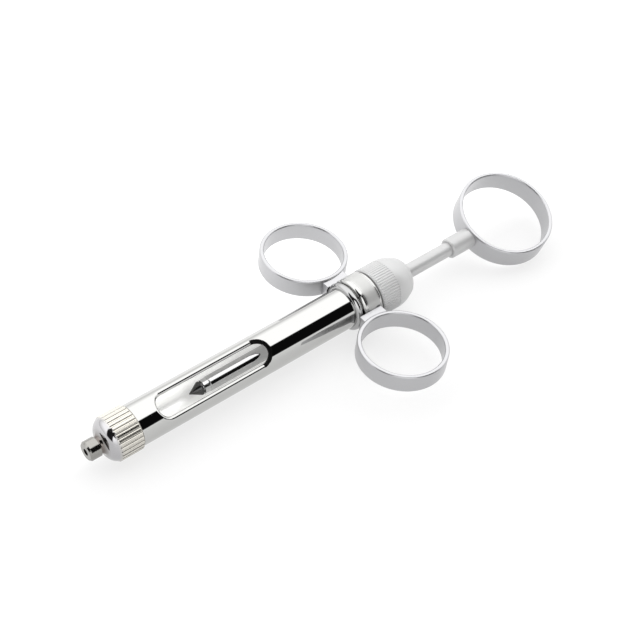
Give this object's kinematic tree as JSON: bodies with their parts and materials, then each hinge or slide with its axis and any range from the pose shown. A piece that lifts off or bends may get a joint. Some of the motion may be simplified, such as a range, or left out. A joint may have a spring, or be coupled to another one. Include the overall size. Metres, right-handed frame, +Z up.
{
  "type": "aspirating dental syringe",
  "caption": "Steel dental cartridge syringe with a windowed barrel, finger rings, sliding piston rod with a harpoon tip, fluted needle adaptor and a thumb ring.",
  "frame": {"origin": "on the barrel axis where the needle thread starts, 0.5 mm behind the end of the nipple's chamfer", "axes": "+X along the barrel axis from the needle end to the thumb ring, +Y towards the centre of the left finger ring, +Z up, square to the barrel axis and to the line through the centres of the two finger rings"},
  "size_m": [0.1716, 0.0726, 0.0158],
  "materials": {
    "chromed_barrel": "mirror polished",
    "chromed_adaptor": "mirror polished, fluted",
    "chromed_collar": "mirror polished",
    "washer_polymer": "moulded, matt",
    "satin_steel": "satin",
    "satin_rod": "satin, turned",
    "blasted_nut": "bead blasted",
    "guide_brass": "nickel-plated brass, turned",
    "spring_steel": "drawn wire",
    "harpoon_steel": "ground"
  },
  "bodies": {
    "barrel": {"barrel": "chromed_barrel", "finger_collar": "chromed_collar", "rear_sleeve": "chromed_collar", "locating_pin": "satin_steel", "ring_lug_left": "satin_steel", "ring_lug_right": "satin_steel", "finger_ring_left": "satin_steel", "finger_ring_right": "satin_steel"},
    "adaptor_seat": {"adaptor_washer": "washer_polymer"},
    "adaptor": {"needle_adaptor": "chromed_adaptor"},
    "guide": {"rod_guide": "guide_brass", "retaining_ring": "spring_steel", "loading_spring": "spring_steel"},
    "bearing": {"guide_bearing": "guide_brass"},
    "nut": {"lock_nut": "blasted_nut"},
    "piston": {"piston_rod": "satin_rod", "harpoon": "harpoon_steel"},
    "thumb": {"ring_socket": "satin_rod", "thumb_ring": "satin_steel"}
  },
  "joints": [
    {"name": "adaptor_travel", "type": "slide", "parent": "barrel", "child": "adaptor_seat", "axis": [-1, 0, 0], "range_m": [0, 0.00374]},
    {"name": "adaptor_unscrew", "type": "hinge", "parent": "adaptor_seat", "child": "adaptor", "pos_m": [0.01, 0, 0], "axis": [-1, 0, 0], "range_deg": [0, 1800]},
    {"name": "nut_travel", "type": "slide", "parent": "barrel", "child": "guide", "axis": [1, 0, 0], "range_m": [0, 0.0059]},
    {"name": "nut_unscrew", "type": "hinge", "parent": "guide", "child": "nut", "pos_m": [0.106, 0, 0], "axis": [1, 0, 0], "range_deg": [0, 2160]},
    {"name": "bearing_slide", "type": "slide", "parent": "guide", "child": "bearing", "axis": [1, 0, 0], "range_m": [0, 0.003], "stiffness_N_per_m": 600, "springref_m": -0.004, "deforming": ["loading_spring"]},
    {"name": "piston_slide", "type": "slide", "parent": "guide", "child": "piston", "axis": [1, 0, 0], "range_m": [-0.017, 0.046]},
    {"name": "thumb_swivel", "type": "hinge", "parent": "piston", "child": "thumb", "pos_m": [0.135, 0, 0], "axis": [1, 0, 0], "continuous": true}
  ],
  "couplings": [
    {"joint": "adaptor_unscrew", "follows": "adaptor_travel", "rad_per_m": 8377.6},
    {"joint": "nut_unscrew", "follows": "nut_travel", "rad_per_m": 6283.2}
  ]
}
